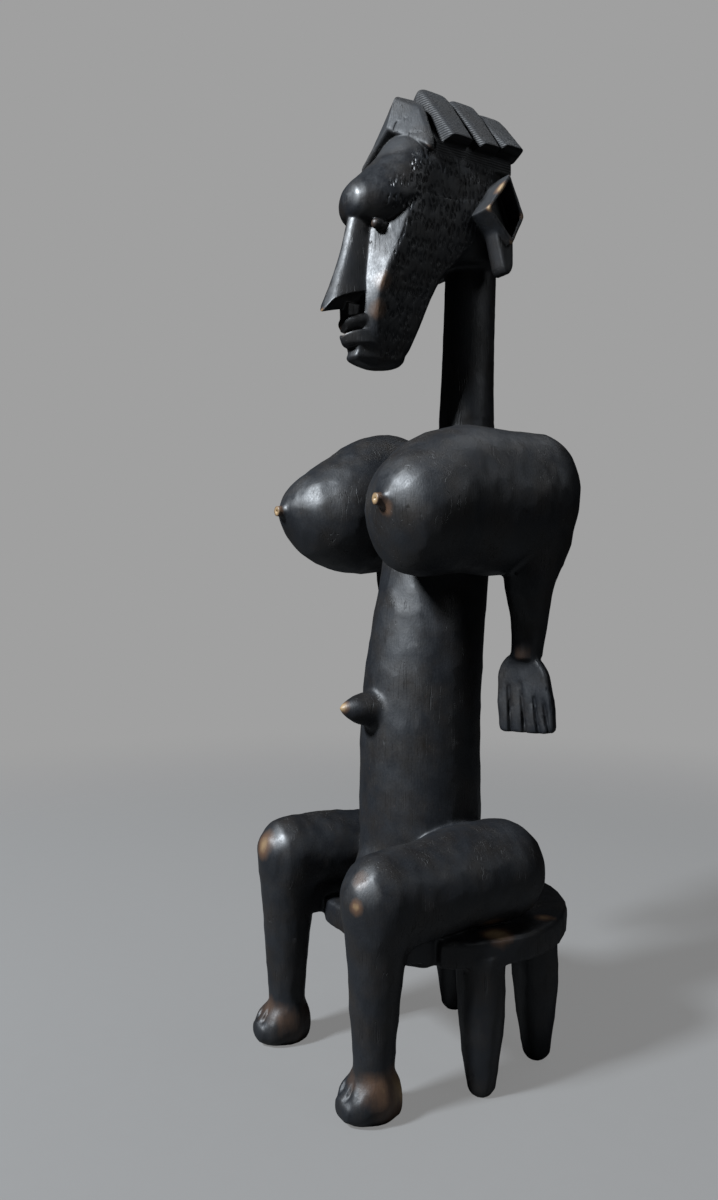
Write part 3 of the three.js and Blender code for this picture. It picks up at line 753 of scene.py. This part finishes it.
def workSurface(points, quads, isHead):
    normals = vertexNormals(points, quads)
    inward = np.sum(normals * (points - points.mean(axis=0)), axis=1).mean() < 0
    if inward:
        quads, normals = quads[:, ::-1], -normals
    offset = toolMarks(points, normals, isHead)
    level = np.clip(points[:, 2] / 3, 0, 1)  # the underside stays flat on the floor
    return points + normals * (offset * level)[:, None], quads


def putObject(name, data):
    made = bpy.data.objects.new(name, data)
    bpy.context.scene.collection.objects.link(made)
    return made


def meshOf(name, points, quads, faces):
    mesh = bpy.data.meshes.new(name)
    mesh.vertices.add(len(points))
    mesh.vertices.foreach_set("co", points.astype(np.float32).ravel())
    mesh.loops.add(quads.size)
    mesh.loops.foreach_set("vertex_index", quads.astype(np.int32).ravel())
    mesh.polygons.add(len(quads))
    mesh.polygons.foreach_set("loop_start", np.arange(0, quads.size, 4, dtype=np.int32))
    mesh.update(calc_edges=True)
    piece = putObject(name, mesh)
    thin = piece.modifiers.new("thin", "DECIMATE")
    thin.ratio = min(1.0, faces / (2 * len(quads)))
    thin.use_collapse_triangulate = True
    shown = bpy.context.evaluated_depsgraph_get()
    thinned = bpy.data.meshes.new_from_object(piece.evaluated_get(shown))
    bpy.data.objects.remove(piece)
    bpy.data.meshes.remove(mesh)
    return thinned


def sew(bodyMesh, headMesh):
    # both surfaces are cut level at the neck and joined by a ring of faces
    joined = bmesh.new()
    halves = (bodyMesh, carving["bodyTop"], False), (headMesh, carving["headFoot"], True)
    for mesh, height, keepAbove in halves:
        part = bmesh.new()
        part.from_mesh(mesh)
        bmesh.ops.bisect_plane(part, geom=part.verts[:] + part.edges[:] + part.faces[:], dist=1e-4,
                               plane_co=(0, 0, height), plane_no=(0, 0, 1),
                               clear_outer=not keepAbove, clear_inner=keepAbove)
        cleaned = bpy.data.meshes.new("half")
        part.to_mesh(cleaned)
        part.free()
        joined.from_mesh(cleaned)
        bpy.data.meshes.remove(cleaned)
    rims = [edge for edge in joined.edges if edge.is_boundary]
    print("sewing", len(rims), "rim edges")
    bmesh.ops.bridge_loops(joined, edges=rims)
    bmesh.ops.triangulate(joined, faces=[f for f in joined.faces if len(f.verts) > 3])
    bmesh.ops.recalc_face_normals(joined, faces=joined.faces[:])
    whole = bpy.data.meshes.new("seated_woman")
    joined.to_mesh(whole)
    joined.free()
    return whole


# Wear: edges that hands have rubbed, hollows that stayed dull and are painted darker (soot and painted
# shade), and the places touched most

wear = {
    "rounds": 8,  # rounds of averaging that find edges and hollows
    "edge": (0.045, 0.12),  # how sharply an edge bends, in 1/mm, when its wear starts and is full
    "hollow": (0.02, 0.09),  # the same for the darkening in the hollows: soot and painted shade
    "all": 0.45, "ear": 0.5,  # how far edges are rubbed everywhere, and how much more on the ears
    "spots": [  # place, radius and strength of what is rubbed brown or golden
        ((111, -175, 649), 13, 1.0), ((116, -164, 640), 20, 0.62), ((-111, -175, 649), 13, 1.0),
        ((0, -150, 420), 16, 1.0), ((114, -203, 232), 16, 0.8), ((-100, -200, 246), 32, 0.72),
        ((108, -195, 262), 24, 0.5), ((0, -176, 869), 8, 0.75), ((97, -158, 30), 52, 1.0),
        ((-106, -165, 28), 52, 0.85), ((115, -138, 32), 30, 1.0), ((131, -30, 176), 28, 1.0),
        ((122, 50, 178), 20, 0.75), ((37, -118, 905), 22, 0.62), ((31, -119, 872), 22, 0.62),
        ((82, 20, 1024), 18, 0.95), ((82, 1, 996), 9, 0.95), ((82, 54, 996), 10, 0.8),
        ((139, -2, 482), 22, 0.45),
    ],
}


def neighbourMean(values, edges, counts):
    total = np.zeros_like(values)
    for k in range(values.shape[1]):
        total[:, k] = (np.bincount(edges[:, 0], values[edges[:, 1], k], len(values))
                       + np.bincount(edges[:, 1], values[edges[:, 0], k], len(values)))
    return total / counts


def readOut(items, name, width, kind=np.float32):
    values = np.empty(len(items) * width, kind)
    items.foreach_get(name, values)
    return values.reshape(-1, width)


def addWear(mesh, points):
    edges = readOut(mesh.edges, "vertices", 2, np.int32)
    counts = np.maximum(np.bincount(edges.ravel(), minlength=len(points)), 1)[:, None]
    normals = readOut(mesh.vertices, "normal", 3).astype(float)
    # averaging pulls a bent surface in: how far, for the length of its edges, tells how sharply it bends
    squares = np.sum((points[edges[:, 0]] - points[edges[:, 1]]) ** 2, axis=1)
    spacing = sum(np.bincount(edges[:, k], squares, len(points)) for k in (0, 1))[:, None] / counts
    softened = points.copy()
    for _ in range(wear["rounds"]):
        softened = neighbourMean(softened, edges, counts)
        spacing = neighbourMean(spacing, edges, counts)
    bend = 2 * np.sum((points - softened) * normals, axis=1)[:, None] / (wear["rounds"] * spacing)
    bend = neighbourMean(bend, edges, counts)[:, 0]
    x, y, z = points.T
    onEar = step(np.abs(x), *zones["earOut"]) * within(z, *zones["earZ"])
    rubbed = step(bend, *wear["edge"]) * (wear["all"] + wear["ear"] * onEar)
    rubbed *= 0.85 + 0.4 * waves(points, 55, 13)
    for place, radius, strength in wear["spots"]:
        away = np.linalg.norm(points - place, axis=1) / radius
        rubbed = np.maximum(rubbed, step(1 - away, 0, 0.9) * strength)
    layers = {
        "wear": np.clip(rubbed, 0, 1),
        # the finish paints these hollows near black: soot, and painted shade where shade falls in them
        "hollow": step(-bend, *wear["hollow"]),
        "hair": hairAt(x, y, z),
        "polish": polishAt(points, normals),
    }
    for name, values in layers.items():
        layer = mesh.attributes.new(name, "FLOAT", "POINT")
        layer.data.foreach_set("value", values.astype(np.float32))


def hairAt(x, y, z):
    # the locks with cut lines are all but the front one
    return step(z, *zones["hairZ"]) * step(y + 0.28 * np.abs(x), *zones["hairFront"])


def polishAt(points, normals):
    # how smooth the surface is rubbed: the brow and nose most, hair and temples least
    x, y, z = points.T
    ahead = (1 - step(y, *zones["faceBack"])) * (1 - step(np.abs(normals[:, 0]), 0.76, 0.86))
    onFace = within(z, *zones["faceZ"]) * ahead
    onBrow = within(z, *zones["browZ"]) * (1 - step(y, *zones["browBack"]))
    onSides = step(z, *zones["templeZ"][0]) * (1 - step(y, *zones["neckBack"])) * (1 - onFace) * (1 - onBrow)
    polish = 0.5 + 0.2 * waves(points, 45, 17) + 0.14 * waves(points, 14, 19)
    polish += 0.3 * onBrow + 0.1 * onFace - 0.42 * step(z, 1058, 1068) - 0.3 * onSides
    return np.clip(polish, 0, 1)


def makeCarving():
    bodyMesh = meshOf("body", *workSurface(*carveBody(), False), carving["bodyFaces"])
    print("body carved:", len(bodyMesh.polygons), "faces")
    headMesh = meshOf("head", *workSurface(*carveHead(), True), carving["headFaces"])
    print("head carved:", len(headMesh.polygons), "faces")
    whole = sew(bodyMesh, headMesh)
    points = readOut(whole.vertices, "co", 3).astype(float)
    addWear(whole, points)
    points[:, 1] += carverY
    whole.vertices.foreach_set("co", (points * 0.001).ravel())
    whole.polygons.foreach_set("use_smooth", [True] * len(whole.polygons))
    whole.update()
    piece = putObject("seated_woman", whole)
    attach(piece, "root")
    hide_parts("seated_figure")
    return piece


# Finish: dense hardwood, adzed, charred black in mud and smoke, then oiled and handled for years.
# The eye sees blue-black with a satin sheen, browner where it is thin and golden where it is rubbed through.

woodFinish = {
    # the near-black soot colour also stands for painted shade in hollows, cracks and the lines across the
    # locks
    "black": "#0f1115", "brown": "#191512", "thin": "#4a3628", "bare": "#8f7757", "sootAndShade": "#040405",
    "dull": 0.64, "satin": 0.39,
    # sizes in mm; fibres and pores are finer than this in the wood, and drawn as coarse as they need to show
    "fibre": (1.7, 1.7, 28.0), "fibreDeep": 0.18,
    "pore": (2.3, 2.3, 3.2), "poreDeep": 0.15,
    "cloud": (38.0, 38.0, 38.0), "smear": (15.0, 15.0, 40.0),
    "nick": (3.4, 3.4, 9.0),  # small knocks that show brown wood
    "split": (8.0, 8.0, 300.0),  # drying cracks run up the log
    "splitWide": 0.014, "splitDeep": 0.4,
    "linePitch": 3.1, "lineDeep": 0.3,  # lines cut across the locks of hair, also a little coarser
    "lineSway": 4.0,  # how far the lines wander, in radians of their wave
    "details": {"fibre": 2.0, "pore": 2.0, "cloud": 5.0, "smear": 6.0, "nick": 2.0, "split": 1.0},
    "masks": {  # a field, the stretch of it that counts, what that becomes
        "gaps": ("cloud", 0.52, 0.6), "dry": ("polish", 0.72, 0.5),
        "tone": ("cloud", 0.42, 0.7), "knock": ("nick", 0.69, 0.76, 0.0, 0.3),
        "ragged": ("smear", 0.0, 1.0, -0.28, 0.28), "patchy": ("smear", 0.0, 1.0, -0.4, 0.4),
        "grit": ("pore", 0.0, 1.0, -0.12, 0.12), "grained": ("polish", 0.35, 0.7, 1.0, 0.3),
    },
    "thinAt": (0.22, 0.6), "bareAt": (0.6, 1.0),  # how far it is worn when brown and bare wood show
    # how far that soot and painted shade darkens the colour, and how much duller it leaves the surface
    "sootAndShadeDark": 0.85, "sootAndShadeRough": 0.25,
}


def linear(code):
    parts = [int(code[i:i + 2], 16) / 255 for i in (1, 3, 5)]
    return [c / 12.92 if c <= 0.04045 else ((c + 0.055) / 1.055) ** 2.4 for c in parts] + [1.0]


def addNode(tree, kind, inputs=None, settings=None):
    # inputs are nodes or sockets to link, numbers, or colours as sRGB hex; settings are the node's own
    node = tree.nodes.new("ShaderNode" + kind)
    for key, value in (settings or {}).items():
        setattr(node, key, value)
    for key, value in (inputs or {}).items():
        if isinstance(value, bpy.types.Node):
            value = value.outputs[0]
        if isinstance(value, bpy.types.NodeSocket):
            tree.links.new(value, node.inputs[key])
        else:
            node.inputs[key].default_value = linear(value) if isinstance(value, str) else value
    return node


def emptyMaterial(name):
    material = bpy.data.materials.new(name)
    material.use_nodes = True
    material.node_tree.nodes.clear()
    return material


def oiledBlackWood():
    f = woodFinish
    material = emptyMaterial("oiled_blackened_hardwood_hand_adzed")
    tree = material.node_tree
    add, subtract, multiply, maximum = [
        {"operation": name} for name in ("ADD", "SUBTRACT", "MULTIPLY", "MAXIMUM")]
    colours = {"data_type": "RGBA"}
    place = addNode(tree, "TexCoord").outputs["Object"]
    fields = {}
    for name, detail in f["details"].items():
        sized = addNode(tree, "Mapping", {"Vector": place, "Scale": [1000 / mm for mm in f[name]]})
        noise = addNode(tree, "TexNoise", {
            "Vector": sized, "Scale": 1.0, "Detail": detail, "Roughness": 0.6})
        fields[name] = noise.outputs["Fac"]
    for name in ("wear", "hollow", "hair", "polish"):
        fields[name] = addNode(tree, "Attribute", None, {"attribute_name": name}).outputs["Fac"]
    for name, (source, *stretch) in f["masks"].items():
        ends = dict(zip(("From Min", "From Max", "To Min", "To Max"), stretch))
        fields[name] = addNode(tree, "MapRange", {"Value": fields[source], **ends})

    # a drying crack follows a level of the stretched noise; it gapes only here and there, where it is dry
    level = addNode(tree, "Math", {0: fields["split"], 1: 0.5}, subtract)
    level = addNode(tree, "Math", {0: level}, {"operation": "ABSOLUTE"})
    crack = addNode(tree, "MapRange", {"Value": level, "From Min": f["splitWide"], "From Max": 0.0})
    for share in (fields["gaps"], fields["dry"]):
        crack = addNode(tree, "Math", {0: crack, 1: share}, multiply)

    # the lines cut across the locks
    height = addNode(tree, "SeparateXYZ", {0: place}).outputs["Z"]
    turns = addNode(tree, "Math", {0: height, 1: 2000 * math.pi / f["linePitch"]}, multiply)
    sway = addNode(tree, "Math", {0: fields["cloud"], 1: f["lineSway"]}, multiply)
    turns = addNode(tree, "Math", {0: turns, 1: sway}, add)
    wave = addNode(tree, "Math", {0: turns}, {"operation": "SINE"})
    groove = addNode(tree, "MapRange", {"Value": wave, "From Min": 0.1, "From Max": -0.9})
    groove = addNode(tree, "Math", {0: groove, 1: fields["hair"]}, multiply)

    # colour: soot and painted shade in hollows, cracks and grooves, brown clouds, then wear through brown to
    # bare wood
    sootAndShadeShare = fields["hollow"]
    for share in (crack, groove):
        sootAndShadeShare = addNode(tree, "Math", {0: sootAndShadeShare, 1: share}, maximum)
    sootAndShadeShare = addNode(tree, "Math", {0: sootAndShadeShare, 1: f["sootAndShadeDark"]}, multiply)
    worn = addNode(tree, "Math", {0: fields["ragged"], 1: fields["wear"]}, add)
    worn = addNode(tree, "Math", {0: worn, 1: fields["knock"]}, maximum)
    thin, bare = [
        addNode(tree, "MapRange", {"Value": worn, "From Min": start, "From Max": full})
        for start, full in (f["thinAt"], f["bareAt"])]
    colour = f["black"]
    for share, over in ((fields["tone"], "brown"), (sootAndShadeShare, "sootAndShade"), (thin, "thin"), (bare, "bare")):
        colour = addNode(tree, "Mix", {0: share, 6: colour, 7: f[over]}, colours).outputs[2]

    # roughness: oil and hands leave satin patches on a dull ground
    patchy = addNode(tree, "Math", {0: fields["patchy"], 1: fields["polish"]}, add)
    rough = addNode(tree, "MapRange", {"Value": patchy, "To Min": f["dull"], "To Max": f["satin"]})
    matt = addNode(tree, "Math", {0: sootAndShadeShare, 1: f["sootAndShadeRough"]}, multiply)
    for share in (fields["grit"], matt):
        rough = addNode(tree, "Math", {0: rough, 1: share}, add)

    # relief in mm, summed from the fields; hands have smoothed the grain where it is polished
    fibres, pores = [
        addNode(tree, "Math", {0: fields[name], 1: f[name + "Deep"]}, multiply) for name in ("fibre", "pore")]
    relief = addNode(tree, "Math", {0: fibres, 1: pores}, add)
    relief = addNode(tree, "Math", {0: relief, 1: fields["grained"]}, multiply)
    for cut, deep in ((groove, f["lineDeep"]), (crack, f["splitDeep"])):
        share = addNode(tree, "Math", {0: cut, 1: deep}, multiply)
        relief = addNode(tree, "Math", {0: relief, 1: share}, subtract)
    bump = addNode(tree, "Bump", {"Height": relief, "Strength": 1.0, "Distance": 0.001})
    shader = addNode(tree, "BsdfPrincipled", {
        "Base Color": colour, "Roughness": rough, "Normal": bump, "IOR": 1.5})
    addNode(tree, "OutputMaterial", {"Surface": shader})
    return material


# The set: floor, lights and the camera

studio = {
    "floor": "#484848", "backdrop": "#a0a0a0", "ambient": 0.015, "floorRadius": 3.0,
    "floorLift": "#7c7c7c",  # light the camera sees in the floor's shadows, so that they stay soft
    "floorFade": (1.0, 2.4),  # the floor's edge fades into the backdrop over this stretch, metres
    "lights": [  # name, place, size, power, colour
        ("key", (-0.05, -3.8, 3.6), 0.8, 650.0, (0.86, 0.93, 1)),
        ("side", (2.4, 0.9, 1.9), 1.2, 9.0, (0.9, 0.95, 1)),
        ("top", (0.2, 1.0, 3.3), 1.2, 14.0, (0.9, 0.95, 1)),
    ],
    "lightsAim": (0, 0, 0.6),
}
camera = {
    "place": (0.923, -0.6705, 0.568),
    "azimuth": 58.0,  # it looks this far round from straight ahead
    "lens": 36 * 938 / 1200,  # a focal length of 938 of the photo's 1200 pixels
    "shiftY": -0.0192,
}


def makeFloor():
    mesh = bpy.data.meshes.new("studio_floor")
    draft = bmesh.new()
    bmesh.ops.create_circle(draft, cap_ends=True, segments=96, radius=studio["floorRadius"])
    draft.to_mesh(mesh)
    draft.free()
    floor = putObject("studio_floor", mesh)
    material = emptyMaterial("matt_studio_paint_rolled")
    tree = material.node_tree
    place = addNode(tree, "TexCoord").outputs["Object"]
    grit = addNode(tree, "TexNoise", {"Vector": place, "Scale": 40.0, "Detail": 3.0})
    tone = addNode(tree, "MapRange", {"Value": grit.outputs["Fac"], "To Min": 0.97, "To Max": 1.03})
    shade = addNode(tree, "Mix", {0: 1.0, 6: studio["floor"], 7: tone},
                    {"data_type": "RGBA", "blend_type": "MULTIPLY"})
    paint = addNode(tree, "BsdfPrincipled", {"Base Color": shade.outputs[2], "Roughness": 0.9})
    away = addNode(tree, "VectorMath", {0: place}, {"operation": "LENGTH"})
    start, end = studio["floorFade"]
    faded = addNode(tree, "MapRange", {
        "Value": away.outputs["Value"], "From Min": start, "From Max": end},
        {"interpolation_type": "SMOOTHSTEP"})
    seen = addNode(tree, "LightPath").outputs["Is Camera Ray"]
    lift = addNode(tree, "Emission", {"Color": studio["floorLift"], "Strength": seen})
    lifted = addNode(tree, "AddShader", {0: paint, 1: lift})
    clear = addNode(tree, "BsdfTransparent")
    both = addNode(tree, "MixShader", {0: faded, 1: lifted, 2: clear})
    addNode(tree, "OutputMaterial", {"Surface": both})
    mesh.materials.append(material)


def makeLight(name, place, size, power, colour):
    lamp = bpy.data.lights.new(name, "AREA")
    lamp.shape = "DISK"
    lamp.size, lamp.energy, lamp.color = size, power, colour
    light = putObject(name, lamp)
    light.location = place
    way = [end - start for start, end in zip(place, studio["lightsAim"])]
    flat = math.hypot(way[0], way[1])
    light.rotation_euler = (math.atan2(flat, -way[2]), 0, math.atan2(-way[0], way[1]))


def makeStudio():
    world = bpy.data.worlds.new("studio_grey")
    world.use_nodes = True
    tree = world.node_tree
    tree.nodes.clear()
    backdrop = addNode(tree, "Background", {"Color": studio["backdrop"]})
    glow = addNode(tree, "Background", {"Color": studio["backdrop"], "Strength": studio["ambient"]})
    seen = addNode(tree, "LightPath").outputs["Is Camera Ray"]
    both = addNode(tree, "MixShader", {0: seen, 1: glow, 2: backdrop})
    addNode(tree, "OutputWorld", {"Surface": both})
    bpy.context.scene.world = world
    bpy.context.scene.view_settings.view_transform = "Standard"
    for light in studio["lights"]:
        makeLight(*light)


def makeCamera():
    lens = bpy.data.cameras.new("camera")
    lens.sensor_width = 36
    lens.lens = camera["lens"]
    lens.shift_y = camera["shiftY"]
    view = putObject("camera", lens)
    view.location = camera["place"]
    view.rotation_euler = (math.radians(90), 0, math.radians(camera["azimuth"]))
    bpy.context.scene.camera = view


makeCamera()
makeFloor()
makeStudio()
print("studio: floor, backdrop and", len(studio["lights"]), "lights")
woman = makeCarving()
print("carving:", len(woman.data.polygons), "triangles")
woman.data.materials.append(oiledBlackWood())
print("finish:", woman.data.materials[0].name)
